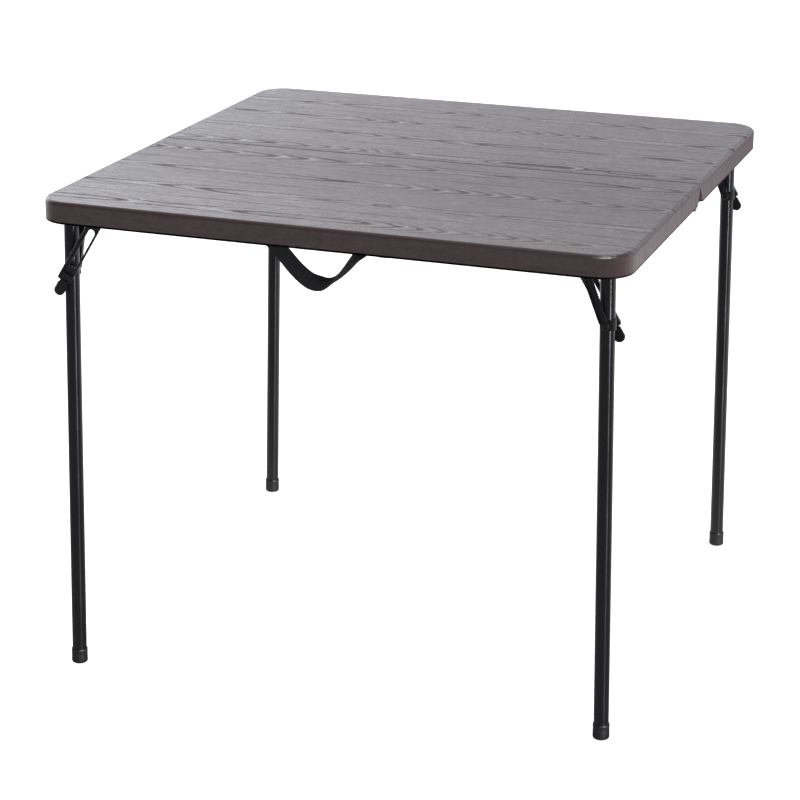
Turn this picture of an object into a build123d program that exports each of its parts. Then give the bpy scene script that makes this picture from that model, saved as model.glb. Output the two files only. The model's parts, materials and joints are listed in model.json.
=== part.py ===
from build123d import *
import math
import os

# Overall sizes, in millimetres. X runs along the seam, Y from front to back, Z up from the floor.
table_width = 880.0
table_depth = 880.0
table_height = 740.0
overrun = 2.0
seat_gap = 0.3
fit_gap = 0.05

# Moulded top, one half each side of the seam
rim_height = 33.0
rim_wall = 10.0
corner_radius = 48.0
top_edge_round = 6.0
rim_edge_round = 1.5
channel_skin = 12.0
field_skin = 22.0
channel_margin = 11.0
seam_wall_margin = 8.0
seam_gap = 0.3
seam_round = 2.5
notch_skin = 5.0
front_notch = 12.0
back_notch = 24.0
front_notch_round = 7.0
back_notch_round = 3.0
dimple_long = 68.0
dimple_wide = 44.0
dimple_deep = 7.0
dimple_taper = 16.0
dimple_columns = 8
dimple_rows = 3

# Hinges of the two halves, one near each end of the seam
fold_knuckle_radius = 4.3
fold_knuckle_bite = 0.3
fold_pin_radius = 2.2
fold_pin_head_radius = 3.4
fold_pin_head = 1.2
leaf_thickness = 2.0
leaf_reach = 48.0
leaf_hook = 4.8
leaf_lip_height = 17.0
leaf_length = 42.0
leaf_inset = 6.0
knuckle_length = 12.0
knuckle_gap = 0.3

# Legs
leg_diameter = 22.0
leg_wall = 1.3
leg_end_gap = 33.0
leg_side_clearance = 1.75
leg_stagger = 39.0
leg_swing_gap = 1.0
leg_top_over = 4.4
foot_splay = 13.0
cap_wall = 1.4
cap_height = 23.0
cap_floor = 4.0
cap_foot_edge = 2.0
cap_rim_edge = 0.6

# Leg hinge bracket, folded from sheet
sheet = 2.0
cheek_sheet = 1.5
cheek_drop = 9.0
cheek_round = 8.0
bracket_tail = 17.0
bracket_nose = 17.0
bracket_margin = 5.2
bracket_corner_share = 0.3
hinge_pin_radius = 3.0
hinge_pin_head_radius = 5.0
hinge_pin_head = 1.0

# Lock linkage: slotted plate, thumb lever and plain arm
lock_pivot_reach = 51.5
stud_drop = 89.0
lock_rivet_radius = 2.5
rivet_head_radius = 5.0
rivet_head = 1.4
saddle_sheet = 1.5
saddle_half_height = 8.0
stud_head = 0.6
slot_width = 11.0
slot_start = 24.0
slot_bridge = 1.0
outer_bar = 6.5
inner_bar = 3.5
plate_tail = 11.0
plate_flange = 4.0
lever_half_width = 6.0
lever_sheet = 1.5
lever_head = 13.0
lever_reach = 34.0
lever_pin_neck = 3.7
grip_wall = 2.0
grip_thickness = 7.0
grip_edge = 1.5
grip_gap = 2.0
spring_sheet = 0.6
spring_half_width = 4.2
spring_flat = 5.0
arm_half_width = 5.6
arm_shortfall = 4.0
arm_boss = 5.5
arm_flange = 4.0
arm_pin_radius = 2.0
arm_pin_head_radius = 4.0

# Webbing carry strap under the middle of the front edge
strap_width = 24.0
strap_thickness = 1.6
strap_left_x = -66.0
strap_right_x = 62.0
strap_sag = 52.0
strap_bow = 6.0
strap_along_shares = (0.0, 0.10, 0.24, 0.38, 0.51, 0.60, 0.68, 0.76, 0.86, 0.94, 1.0)
strap_drop_shares = (0.0, 0.27, 0.66, 0.93, 1.0, 0.95, 0.82, 0.64, 0.36, 0.12, 0.0)
strap_turn_degrees = (0, 3, 8, 18, 42, 66, 76, 70, 58, 48, 45)
strap_plate_width = 16.0
strap_plate_height = 12.0
strap_plate_gap = 1.0
strap_screw_radius = 1.8
strap_screw_head_radius = 3.6
strap_screw_head = 1.6

# Closing catch on the front rim
catch_x = 96.0
catch_width = 18.0
catch_thickness = 3.0
catch_height = 14.0
catch_lip = 2.0
catch_nose = 3.5

# Countersunk screws
screw_radius = 2.0
screw_head_radius = 3.8
screw_length = 8.0
screw_edge = 4.5

leg_radius = leg_diameter / 2
cap_diameter = leg_diameter + 2 * cap_wall
rim_z = table_height - rim_height
channel_z = table_height - channel_skin
field_z = table_height - field_skin
leg_axis_z = channel_z - sheet - leg_radius - leg_swing_gap
fold_axis_z = rim_z - leaf_thickness - fold_knuckle_radius + fold_knuckle_bite
notch_rise = rim_height - notch_skin
seam_wall = leaf_reach + seam_wall_margin
leaf_outer_end = table_width / 2 - leaf_inset
leaf_inner_end = leaf_outer_end - leaf_length
strap_y = -table_depth / 2 + rim_wall + strap_thickness / 2 + seat_gap
strap_screw_z = channel_z - strap_plate_gap - strap_plate_height / 2
strap_screw_end = -table_depth / 2 + rim_wall / 2
leg_splay = math.degrees(math.atan2(foot_splay, leg_axis_z))
leg_length = math.hypot(foot_splay, leg_axis_z)
ceiling = channel_z - leg_axis_z
cheek_inside = leg_radius + seat_gap
cheek_outside = cheek_inside + cheek_sheet
saddle_inside = leg_radius + fit_gap
saddle_outside = saddle_inside + saddle_sheet
plate_inside = saddle_outside + stud_head + seat_gap
plate_outside = plate_inside + sheet
lever_inside = plate_outside + fit_gap * 4
lever_outside = lever_inside + lever_sheet
lever_pin_end = lever_outside + lever_pin_neck
arm_inside = cheek_outside + seat_gap
arm_outside = arm_inside + sheet
arm_length = stud_drop - arm_shortfall
slot_to_rivet = slot_width / 2 + lock_rivet_radius + slot_bridge
grip_half_width = lever_half_width + grip_wall
grip_start = plate_tail + grip_gap
bracket_half_width = cheek_outside + bracket_margin
leg_axis_x = table_width / 2 - rim_wall - leg_end_gap
outer_leg_y = table_depth / 2 - rim_wall - lever_pin_end - rivet_head - leg_side_clearance
inner_leg_y = outer_leg_y - leg_stagger
channel_step_y = inner_leg_y - bracket_half_width - channel_margin
stud_x = -stud_drop * math.sin(math.radians(leg_splay))
stud_z = -stud_drop * math.cos(math.radians(leg_splay))
lock_reach = math.hypot(lock_pivot_reach - stud_x, stud_z)
lock_lean = math.degrees(math.atan2(lock_pivot_reach - stud_x, -stud_z))

# Each leg's place, its turn about Z, and how far its plain arm leans from it
LEGS = {
    "front_left": (-leg_axis_x, -outer_leg_y, 0, 7.0),
    "back_left": (-leg_axis_x, inner_leg_y, 0, 20.4),
    "front_right": (leg_axis_x, -inner_leg_y, 180, 20.4),
    "back_right": (leg_axis_x, outer_leg_y, 180, 20.4),
}


def box_between(low, high):
    size = [b - a for a, b in zip(low, high)]
    middle = [(a + b) / 2 for a, b in zip(low, high)]
    return Pos(*middle) * Box(*size)


def rod_along_y(radius, x, z, y_start, y_end):
    rod = Cylinder(radius, abs(y_end - y_start))
    return Pos(x, (y_start + y_end) / 2, z) * Rot(90, 0, 0) * rod


def rod_along_x(radius, y, z, x_start, x_end):
    rod = Cylinder(radius, abs(x_end - x_start))
    return Pos((x_start + x_end) / 2, y, z) * Rot(0, 90, 0) * rod


def upright_sheet(profile, y_low, y_high):
    """A profile drawn in X and Z, given thickness from y_low to y_high."""
    return Pos(0, y_high, 0) * extrude(Plane.XZ * profile, amount=y_high - y_low)


def save(name, shape):
    export_step(shape, "parts/" + name + ".step")


def screw_places():
    """Bracket screws, one at each end of its base, in X from the hinge axis."""
    return [screw_edge - bracket_tail, lock_pivot_reach + bracket_nose - screw_edge]


def leaf_screw_places():
    """Hinge leaf screws beside the seam, measured from the seam."""
    along = [leaf_inner_end + 2 * screw_edge, leaf_outer_end - 2 * screw_edge]
    return [(x, leaf_reach - 2 * screw_edge) for x in along]


def countersunk_screw(head_seat, gap=0.0):
    """Head flush with z = 0, shank rising through head_seat of sheet into the moulding."""
    head = Pos(0, 0, head_seat / 2) * Cone(screw_head_radius + gap, screw_radius + gap, head_seat)
    length = screw_length + gap
    shank = Pos(0, 0, head_seat + length / 2) * Cylinder(screw_radius + gap, length)
    return head + shank


def at_leg(name, shape):
    x, y, turn, lean = LEGS[name]
    return Pos(x, y, leg_axis_z) * Rot(0, 0, turn) * shape


# Moulded top halves
def dimple():
    pocket = extrude(Rectangle(dimple_long, dimple_wide), amount=dimple_deep, taper=dimple_taper)
    return Pos(0, 0, field_z) * pocket


def dimple_places():
    """Centres of the kiss-off pockets in the front half's thick field."""
    x_room = table_width / 2 - rim_wall
    y_low = -channel_step_y
    y_high = -seam_wall
    x_step = 2 * x_room / dimple_columns
    y_step = (y_high - y_low) / dimple_rows
    for column in range(dimple_columns):
        for row in range(dimple_rows):
            yield -x_room + (column + 0.5) * x_step, y_low + (row + 0.5) * y_step


def recess():
    """The hollow underside of the front half: deep leg channel and shallower field."""
    x_in = table_width / 2 - rim_wall
    y_out = -table_depth / 2 + rim_wall
    y_step = -channel_step_y
    low = rim_z - overrun
    channel = box_between((-x_in, y_out, low), (x_in, y_step, channel_z))
    corners = channel.edges().filter_by(Axis.Z).group_by(Axis.Y)[0]
    channel = fillet(corners, corner_radius - rim_wall)
    field = box_between((-x_in, y_step - overrun, low), (x_in, -seam_wall, field_z))
    return channel + field


def seam_wedge(notch, notch_round):
    """What the open V under the seam takes from the front half, its lower corner rounded."""
    seam_y = -seam_gap / 2
    top = rim_z + notch_rise
    behind = -notch - 2 * notch_round
    lip = Polyline((behind, rim_z), (-notch, rim_z), (seam_y, top), (behind, top), close=True)
    lip = make_face(lip)
    lip = fillet(lip.vertices().sort_by_distance((-notch, rim_z))[0], notch_round)
    room = Polyline(
        (behind, rim_z - overrun),
        (overrun, rim_z - overrun),
        (overrun, top),
        (behind, top),
        close=True,
    )
    wedge = make_face(room) - lip
    return extrude(Plane.YZ * wedge, amount=table_width / 2 + overrun, both=True)


def make_panel(notch, notch_round):
    outline = RectangleRounded(table_width, table_depth, corner_radius)
    body = Pos(0, 0, rim_z) * extrude(outline, amount=rim_height)
    body = fillet(body.faces().sort_by(Axis.Z)[-1].edges(), top_edge_round)
    body = fillet(body.faces().sort_by(Axis.Z)[0].edges(), rim_edge_round)
    half_x = table_width / 2 + overrun
    seam_y = -seam_gap / 2
    back = table_depth / 2 + overrun
    body = body - box_between((-half_x, seam_y, rim_z - overrun), (half_x, back, table_height + overrun))
    corner = box_between(
        (-half_x, seam_y - seam_round, table_height - seam_round),
        (half_x, overrun, table_height + overrun),
    )
    bead = rod_along_x(seam_round, seam_y - seam_round, table_height - seam_round, -half_x, half_x)
    body = body - (corner - bead)
    body = body - seam_wedge(notch, notch_round) - recess()
    for x, y in dimple_places():
        body = body - Pos(x, y, 0) * dimple()
    for leg in ("front_left", "front_right"):
        for x in screw_places():
            body = body - at_leg(leg, Pos(x, 0, ceiling - sheet) * countersunk_screw(sheet, fit_gap))
    for side in (-1, 1):
        for x, y in leaf_screw_places():
            hole = Pos(side * x, -y, rim_z - leaf_thickness) * countersunk_screw(leaf_thickness, fit_gap)
            body = body - hole
    return body


# Webbing strap: its centre line and the turn of its width run from the left end to the right end
def strap_sections():
    """Flat rectangles across the webbing, hung from the rim and turned as it twists."""
    span = strap_right_x - strap_left_x
    points = []
    for along, drop in zip(strap_along_shares, strap_drop_shares):
        bow = strap_bow * math.sin(math.pi * along)
        points.append(Vector(strap_left_x + span * along, strap_y + bow, rim_z - strap_sag * drop))
    count = len(points)
    for i, point in enumerate(points):
        ahead = points[min(i + 1, count - 1)] - points[max(i - 1, 0)]
        ahead = ahead.normalized()
        turn = strap_turn_degrees[i]
        flat = Vector(0, 1, 0).cross(ahead).normalized()
        across = flat * math.cos(math.radians(turn)) + flat.cross(ahead) * math.sin(math.radians(turn))
        yield Plane(origin=point, x_dir=across, z_dir=ahead)


def make_strap():
    profiles = [plane * Rectangle(strap_width, strap_thickness) for plane in strap_sections()]
    return loft(profiles, ruled=True)


def make_strap_plates():
    """A steel plate over each end of the webbing, against the inside of the rim."""
    plates = []
    inside = strap_y + strap_thickness / 2 + fit_gap
    outline = chamfer(Rectangle(strap_plate_width, strap_plate_height).vertices(), cheek_sheet)
    for x in (strap_left_x, strap_right_x):
        plate = upright_sheet(Pos(x, strap_screw_z) * outline, inside, inside + cheek_sheet)
        hole = rod_along_y(strap_screw_radius + fit_gap, x, strap_screw_z, strap_y, inside + sheet)
        plates.append(plate - hole)
    return plates


# Hinges between the halves
def knuckle_spans():
    """Stretches of the hinge's length: outer knuckles go with the front leaf."""
    middle_low = leaf_inner_end + knuckle_length + knuckle_gap
    middle_high = leaf_outer_end - knuckle_length - knuckle_gap
    front = [
        (leaf_inner_end, leaf_inner_end + knuckle_length),
        (leaf_outer_end - knuckle_length, leaf_outer_end),
    ]
    return front, [(middle_low, middle_high)]


def make_leaf(side, spans, lip):
    """A hinge leaf reaching towards the front from the fold axis."""
    low = rim_z - leaf_thickness
    plate = box_between((leaf_inner_end, -leaf_reach, low), (leaf_outer_end, -leaf_hook, rim_z))
    edges = plate.edges().filter_by(Axis.Z).group_by(Axis.Y)[0]
    leaf = chamfer(edges, screw_edge)
    for start, end in spans:
        leaf = leaf + box_between((start, -leaf_hook - overrun, low), (end, 0, rim_z))
        leaf = leaf + rod_along_x(fold_knuckle_radius, 0, fold_axis_z, start, end)
    if lip:
        start, end = spans[0]
        top = rim_z + leaf_lip_height - leaf_thickness
        lip_edge = -leaf_hook - leaf_thickness
        leaf = leaf + box_between((leaf_inner_end, lip_edge, low), (leaf_outer_end, -leaf_hook, top))
    length = leaf_outer_end - leaf_inner_end
    bore = rod_along_x(
        fold_pin_radius + fit_gap, 0, fold_axis_z, leaf_inner_end - length, leaf_outer_end + length
    )
    leaf = leaf - bore
    for x, y in leaf_screw_places():
        leaf = leaf - Pos(x, -y, low) * countersunk_screw(leaf_thickness, fit_gap)
    if side < 0:
        leaf = mirror(leaf, about=Plane.YZ)
    return leaf


def make_fold_pin(side):
    """Headed at its outer end, spread flush at its inner one."""
    seat = leaf_outer_end + fit_gap
    pin = rod_along_x(fold_pin_radius, 0, fold_axis_z, leaf_inner_end, seat)
    pin = pin + rod_along_x(fold_pin_head_radius, 0, fold_axis_z, seat, seat + fold_pin_head)
    if side < 0:
        pin = mirror(pin, about=Plane.YZ)
    return pin


# Closing catch
def make_catch():
    """A moulded hook against the inside of the front rim, its lip just under the edge."""
    inner = -table_depth / 2 + rim_wall
    top = rim_z + catch_height
    low = rim_z - catch_lip
    profile = Polyline(
        (inner, top),
        (inner + catch_thickness, top),
        (inner + catch_thickness, low),
        (inner - catch_nose, low),
        (inner - catch_nose, low + catch_lip),
        (inner, low + catch_lip),
        close=True,
    )
    hook = extrude(Plane.YZ * make_face(profile), amount=catch_width / 2, both=True)
    tips = hook.edges().filter_by(Axis.Z).group_by(Axis.Y)[0]
    return Pos(catch_x, 0, 0) * fillet(tips, catch_lip)


# One leg and its lock, in the leg's own frame: hinge axis at the origin, X inward, lock on -Y
def along_leg(shape):
    return Rot(0, leg_splay, 0) * shape


def make_leg_tube():
    low = -leg_length + cap_floor + leg_radius * math.sin(math.radians(leg_splay))
    height = leg_top_over - low
    middle = (leg_top_over + low) / 2
    tube = Pos(0, 0, middle) * Cylinder(leg_radius, height)
    bore = Pos(0, 0, middle) * Cylinder(leg_radius - leg_wall, height + overrun)
    tube = tube - bore
    tube = tube - rod_along_y(hinge_pin_radius + fit_gap, 0, 0, -leg_diameter, leg_diameter)
    tube = tube - rod_along_y(lock_rivet_radius + fit_gap, 0, -stud_drop, -leg_diameter, leg_diameter)
    return along_leg(tube)


def make_foot_cap():
    half = cap_diameter / 2
    low = -leg_length - half
    top = -leg_length + cap_height
    cap = Pos(0, 0, (low + top) / 2) * Cylinder(half, top - low)
    cap = chamfer(cap.faces().sort_by(Axis.Z)[-1].edges(), cap_rim_edge)
    bore_low = -leg_length + cap_floor
    cap = cap - Pos(0, 0, (bore_low + top + overrun) / 2) * Cylinder(
        leg_radius + fit_gap, top + overrun - bore_low
    )
    cap = along_leg(cap)
    floor = -leg_axis_z
    block = box_between(
        (-foot_splay - cap_diameter, -cap_diameter, low - cap_diameter),
        (cap_diameter, cap_diameter, floor),
    )
    cap = cap - block
    return chamfer(cap.faces().sort_by(Axis.Z)[0].edges(), cap_foot_edge)


def make_saddle():
    """A strip bent round the outer side of the leg, its rounded ears carrying the rivets."""
    height = 2 * saddle_half_height
    ring = Cylinder(saddle_outside, height) - Cylinder(saddle_inside, height + overrun)
    ring = ring - box_between((0, -leg_diameter, -height), (leg_diameter, leg_diameter, height))
    ears = Circle(saddle_half_height) - Pos(-leg_radius, 0) * Rectangle(leg_diameter, leg_diameter)
    clip = ring
    for side in (-1, 1):
        low, high = sorted((side * saddle_inside, side * saddle_outside))
        clip = clip + upright_sheet(ears, low, high)
    clip = Pos(0, 0, -stud_drop) * clip
    clip = clip - rod_along_y(lock_rivet_radius + fit_gap, 0, -stud_drop, -leg_diameter, leg_diameter)
    return along_leg(clip)


def make_leg_rivet():
    """Through tube and saddle: a low head on the lock side, the arm's bearing and head opposite."""
    head_outside = arm_outside + fit_gap + rivet_head
    rivet = rod_along_y(lock_rivet_radius, 0, -stud_drop, -saddle_outside, head_outside - rivet_head)
    rivet = rivet + rod_along_y(
        rivet_head_radius, 0, -stud_drop, -saddle_outside - stud_head, -saddle_outside
    )
    head = rod_along_y(rivet_head_radius, 0, -stud_drop, head_outside - rivet_head, head_outside)
    return along_leg(rivet + head)


def arm_top(lean):
    """Where the plain arm's upper end lies, in X and Z."""
    angle = math.radians(lean + leg_splay)
    return stud_x + arm_length * math.sin(angle), stud_z + arm_length * math.cos(angle)


def make_bracket(lean):
    """Folded sheet bracket: a base on the moulding and two cheeks, the lock's and the arm's."""
    base_low = ceiling - sheet
    nose = lock_pivot_reach + bracket_nose
    base = box_between(
        (-bracket_tail, -bracket_half_width, base_low), (nose, bracket_half_width, ceiling)
    )
    uprights = base.edges().filter_by(Axis.Z).group_by(Axis.X)
    base = chamfer(uprights[-1], screw_edge)
    tail_corners = base.edges().filter_by(Axis.Z).group_by(Axis.X)[0]
    base = chamfer(tail_corners, (corner_radius - rim_wall) * bracket_corner_share)
    arch_low = -cheek_drop
    lock_cheek = Polyline(
        (-cheek_round, ceiling),
        (-cheek_round, arch_low),
        (cheek_round, arch_low),
        (lock_pivot_reach / 2, 0),
        (lock_pivot_reach - cheek_round, arch_low),
        (lock_pivot_reach + cheek_round, arch_low),
        (lock_pivot_reach + cheek_round, ceiling),
        close=True,
    )
    lock_cheek = make_face(lock_cheek)
    lock_cheek = chamfer(lock_cheek.vertices().sort_by(Axis.Y)[:4], sheet)
    arm_x, arm_z = arm_top(lean)
    arm_cheek = Polyline(
        (-cheek_round, ceiling),
        (-cheek_round, arch_low),
        (arm_x + arm_boss, arm_z - arm_boss),
        (arm_x + arm_boss, ceiling),
        close=True,
    )
    arm_cheek = make_face(arm_cheek)
    arm_cheek = chamfer(arm_cheek.vertices().sort_by(Axis.Y)[:2], sheet)
    bracket = base + upright_sheet(lock_cheek, -cheek_outside, -cheek_inside)
    bracket = bracket + upright_sheet(arm_cheek, cheek_inside, cheek_outside)
    bracket = bracket - rod_along_y(hinge_pin_radius + fit_gap, 0, 0, -leg_diameter, leg_diameter)
    bracket = bracket - rod_along_y(
        lock_rivet_radius + fit_gap, lock_pivot_reach, 0, -leg_diameter, leg_diameter
    )
    for x in screw_places():
        bracket = bracket - Pos(x, 0, base_low) * countersunk_screw(sheet, fit_gap)
    return bracket


def make_bracket_pins():
    """The leg's hinge pin, flush on the arm side, and the lock plate's pivot rivet."""
    head = cheek_outside + hinge_pin_head
    pin = rod_along_y(hinge_pin_radius, 0, 0, -cheek_outside, cheek_outside)
    pin = pin + rod_along_y(hinge_pin_head_radius, 0, 0, -head, -cheek_outside)
    rivet_end = plate_outside + fit_gap
    rivet = rod_along_y(lock_rivet_radius, lock_pivot_reach, 0, -rivet_end, -cheek_inside)
    rivet = rivet + rod_along_y(
        rivet_head_radius, lock_pivot_reach, 0, -rivet_end - rivet_head, -rivet_end
    )
    return [pin, rivet]


def on_lock_line(shape):
    """From a frame with the lock pivot at the origin and the plate hanging along -Z."""
    return Pos(lock_pivot_reach, 0, 0) * Rot(0, lock_lean, 0) * shape


def make_lock_plate():
    """Pressed plate: long slot between a flanged outer bar and a thin inner bar."""
    left = -slot_width / 2 - outer_bar
    right = slot_width / 2 + inner_bar
    middle = (left + right) / 2
    foot = -lock_reach - plate_tail + (right - left) / 2
    blank = Pos(middle, foot / 2) * Rectangle(right - left, -foot)
    blank = blank + Circle(right)
    blank = blank + Pos(middle, foot) * Circle((right - left) / 2)
    slot_low = -lock_reach + slot_to_rivet
    slot_radius = slot_width / 2
    slot = Pos(0, (slot_low - slot_start) / 2) * Rectangle(slot_width, -slot_low - slot_start)
    slot = slot + Pos(0, -slot_start) * Circle(slot_radius)
    slot = slot + Pos(0, slot_low) * Circle(slot_radius)
    plate = upright_sheet(blank, -plate_outside, -plate_inside)
    flange_low = -lock_reach
    flange = box_between(
        (left, -plate_outside - plate_flange, flange_low), (left + cheek_sheet, -plate_inside, -slot_start)
    )
    plate = plate + flange - upright_sheet(slot, -plate_outside, -plate_inside)
    plate = plate - rod_along_y(lock_rivet_radius + fit_gap, 0, 0, -leg_diameter, 0)
    plate = plate - rod_along_y(lock_rivet_radius - fit_gap, 0, -lock_reach, -leg_diameter, 0)
    return on_lock_line(plate)


def make_lever_pin():
    """Long rivet fixed in the plate: the lever turns on it, under the spring and the rivet's head."""
    pin = rod_along_y(lock_rivet_radius - fit_gap * 2, 0, -lock_reach, -lever_pin_end, -plate_inside)
    head = rod_along_y(rivet_head_radius, 0, -lock_reach, -lever_pin_end - rivet_head, -lever_pin_end)
    return on_lock_line(pin + head)


def make_lever_spring():
    """Bowed flat spring: a fork round the rivet under its head, a tail that presses on the lever."""
    tail = -slot_width / 2 - outer_bar + cheek_sheet + seat_gap
    under_head = fit_gap - lever_pin_end
    on_lever = -lever_outside - seat_gap
    bow = Polyline(
        (spring_flat, under_head),
        (-spring_flat, under_head),
        (tail, on_lever - spring_sheet),
        (tail, on_lever),
        (-spring_flat, under_head + spring_sheet),
        (spring_flat, under_head + spring_sheet),
        close=True,
    )
    strip = extrude(make_face(bow), amount=spring_half_width, both=True)
    fork = box_between(
        (-lock_rivet_radius, -lever_pin_end, -lock_rivet_radius),
        (spring_flat + overrun, on_lever, lock_rivet_radius),
    )
    return on_lock_line(Pos(0, 0, -lock_reach) * (strip - fork))


def make_lock_lever():
    top = -lock_reach + lever_head
    low = -lock_reach - lever_reach + grip_half_width
    strip = Pos(0, (top + low) / 2) * Rectangle(2 * lever_half_width, top - low)
    strip = strip + Pos(0, top) * Circle(lever_half_width) + Pos(0, low) * Circle(lever_half_width)
    lever = upright_sheet(strip, -lever_outside, -lever_inside)
    lever = lever - rod_along_y(lock_rivet_radius - fit_gap, 0, -lock_reach, -leg_diameter, 0)
    return on_lock_line(lever)


def make_lever_grip():
    """Moulded thumb piece pushed over the lever's lower end."""
    top = -lock_reach - grip_start
    low = -lock_reach - lever_reach
    outline = Pos(0, (top + low + grip_half_width) / 2) * Rectangle(
        2 * grip_half_width, top - low - grip_half_width
    )
    outline = outline + Pos(0, low + grip_half_width) * Circle(grip_half_width)
    middle = (lever_inside + lever_outside) / 2
    grip = upright_sheet(outline, -middle - grip_thickness / 2, -middle + grip_thickness / 2)
    grip = chamfer(grip.edges().filter_by(Plane.XZ), grip_edge)
    socket_low = low + grip_half_width
    socket_high = top + overrun
    socket = Pos(0, (socket_high + socket_low) / 2) * Rectangle(
        2 * lever_half_width + 2 * fit_gap, socket_high - socket_low
    )
    socket = socket + Pos(0, socket_low) * Circle(lever_half_width + fit_gap)
    grip = grip - upright_sheet(socket, -lever_outside - fit_gap, -lever_inside + fit_gap)
    return on_lock_line(grip)


def on_arm_line(shape, lean):
    """From a frame with the leg's rivet at the origin and the arm standing along Z."""
    return along_leg(Pos(0, 0, -stud_drop) * Rot(0, lean, 0) * shape)


def make_brace_arm(lean):
    """Plain flanged arm on the leg's rivet, leaning inward from the leg."""
    outline = Pos(0, arm_length / 2) * Rectangle(2 * arm_half_width, arm_length)
    outline = outline + Circle(arm_half_width) + Pos(0, arm_length) * Circle(arm_half_width)
    outline = outline - Pos(0, arm_length) * Circle(arm_pin_radius)
    arm = upright_sheet(outline, arm_inside, arm_outside)
    flange = box_between(
        (arm_half_width - cheek_sheet, arm_inside, arm_half_width),
        (arm_half_width, arm_outside + arm_flange, arm_length - arm_half_width),
    )
    arm = arm + flange
    arm = arm - rod_along_y(lock_rivet_radius + fit_gap, 0, 0, 0, leg_diameter)
    return on_arm_line(arm, lean)


def make_arm_pin(lean):
    """The rivet in the arm's upper end, its head outside, its other end short of the bracket."""
    pin = rod_along_y(arm_pin_radius - fit_gap, 0, arm_length, arm_inside, arm_outside)
    head = rod_along_y(arm_pin_head_radius, 0, arm_length, arm_outside, arm_outside + rivet_head)
    return on_arm_line(pin + head, lean)


def bracket_screws(legs):
    for leg in legs:
        for x in screw_places():
            yield at_leg(leg, Pos(x, 0, ceiling - sheet) * countersunk_screw(sheet))


def leaf_screws(toward):
    for side in (-1, 1):
        for x, y in leaf_screw_places():
            yield Pos(side * x, toward * y, rim_z - leaf_thickness) * countersunk_screw(leaf_thickness)


def strap_screws():
    head_seat = strap_y + strap_thickness / 2 + fit_gap + cheek_sheet
    for x in (strap_left_x, strap_right_x):
        screw = rod_along_y(strap_screw_radius, x, strap_screw_z, strap_screw_end, head_seat)
        yield screw + rod_along_y(
            strap_screw_head_radius, x, strap_screw_z, head_seat, head_seat + strap_screw_head
        )


def strap_screw_holes(shape):
    radius = strap_screw_radius + fit_gap
    for x in (strap_left_x, strap_right_x):
        shape = shape - rod_along_y(radius, x, strap_screw_z, strap_screw_end, strap_y + strap_width)
    return shape


os.makedirs("parts", exist_ok=True)

save("front_panel", strap_screw_holes(make_panel(front_notch, front_notch_round)))
save("back_panel", Rot(0, 0, 180) * make_panel(back_notch, back_notch_round))

front_spans, back_spans = knuckle_spans()
front_leaves = [make_leaf(side, front_spans, False) for side in (-1, 1)]
back_leaves = [mirror(make_leaf(side, back_spans, True), about=Plane.XZ) for side in (-1, 1)]
save("fold_hinge_front_leaves", Compound(front_leaves))
save("fold_hinge_back_leaves", Compound(back_leaves))
save("fold_hinge_pins", Compound([make_fold_pin(-1), make_fold_pin(1)]))

strap = make_strap()
for x in (strap_left_x, strap_right_x):
    tail = box_between(
        (x - strap_width / 2, strap_y - strap_thickness / 2, rim_z),
        (x + strap_width / 2, strap_y + strap_thickness / 2, strap_screw_z + strap_plate_height / 2),
    )
    strap = strap + tail
save("carry_strap", strap_screw_holes(strap))
save("strap_end_plates", Compound(make_strap_plates()))
save("closing_catch", make_catch())

front_legs = ("front_left", "front_right")
back_legs = ("back_left", "back_right")
front_set = list(bracket_screws(front_legs)) + list(leaf_screws(-1)) + list(strap_screws())
save("front_screws", Compound(front_set))
save("back_screws", Compound(list(bracket_screws(back_legs)) + list(leaf_screws(1))))
for half, legs in (("front", front_legs), ("back", back_legs)):
    pins = [at_leg(leg, pin) for leg in legs for pin in make_bracket_pins()]
    save(half + "_bracket_pins", Compound(pins))

ALIKE = {
    "leg_tube": make_leg_tube(),
    "foot_cap": make_foot_cap(),
    "leg_saddle": make_saddle(),
    "leg_rivet": make_leg_rivet(),
    "lock_plate": make_lock_plate(),
    "lever_pin": make_lever_pin(),
    "lever_spring": make_lever_spring(),
    "lock_lever": make_lock_lever(),
    "lever_grip": make_lever_grip(),
}
for leg, (x, y, turn, lean) in LEGS.items():
    for piece, shape in ALIKE.items():
        save(leg + "_" + piece, at_leg(leg, shape))
    save(leg + "_hinge_bracket", at_leg(leg, make_bracket(lean)))
    save(leg + "_brace_arm", at_leg(leg, make_brace_arm(lean)))
    save(leg + "_arm_pin", at_leg(leg, make_arm_pin(lean)))
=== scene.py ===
import json
import math

import bmesh
import bpy
from mathutils import Matrix, Vector

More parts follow.
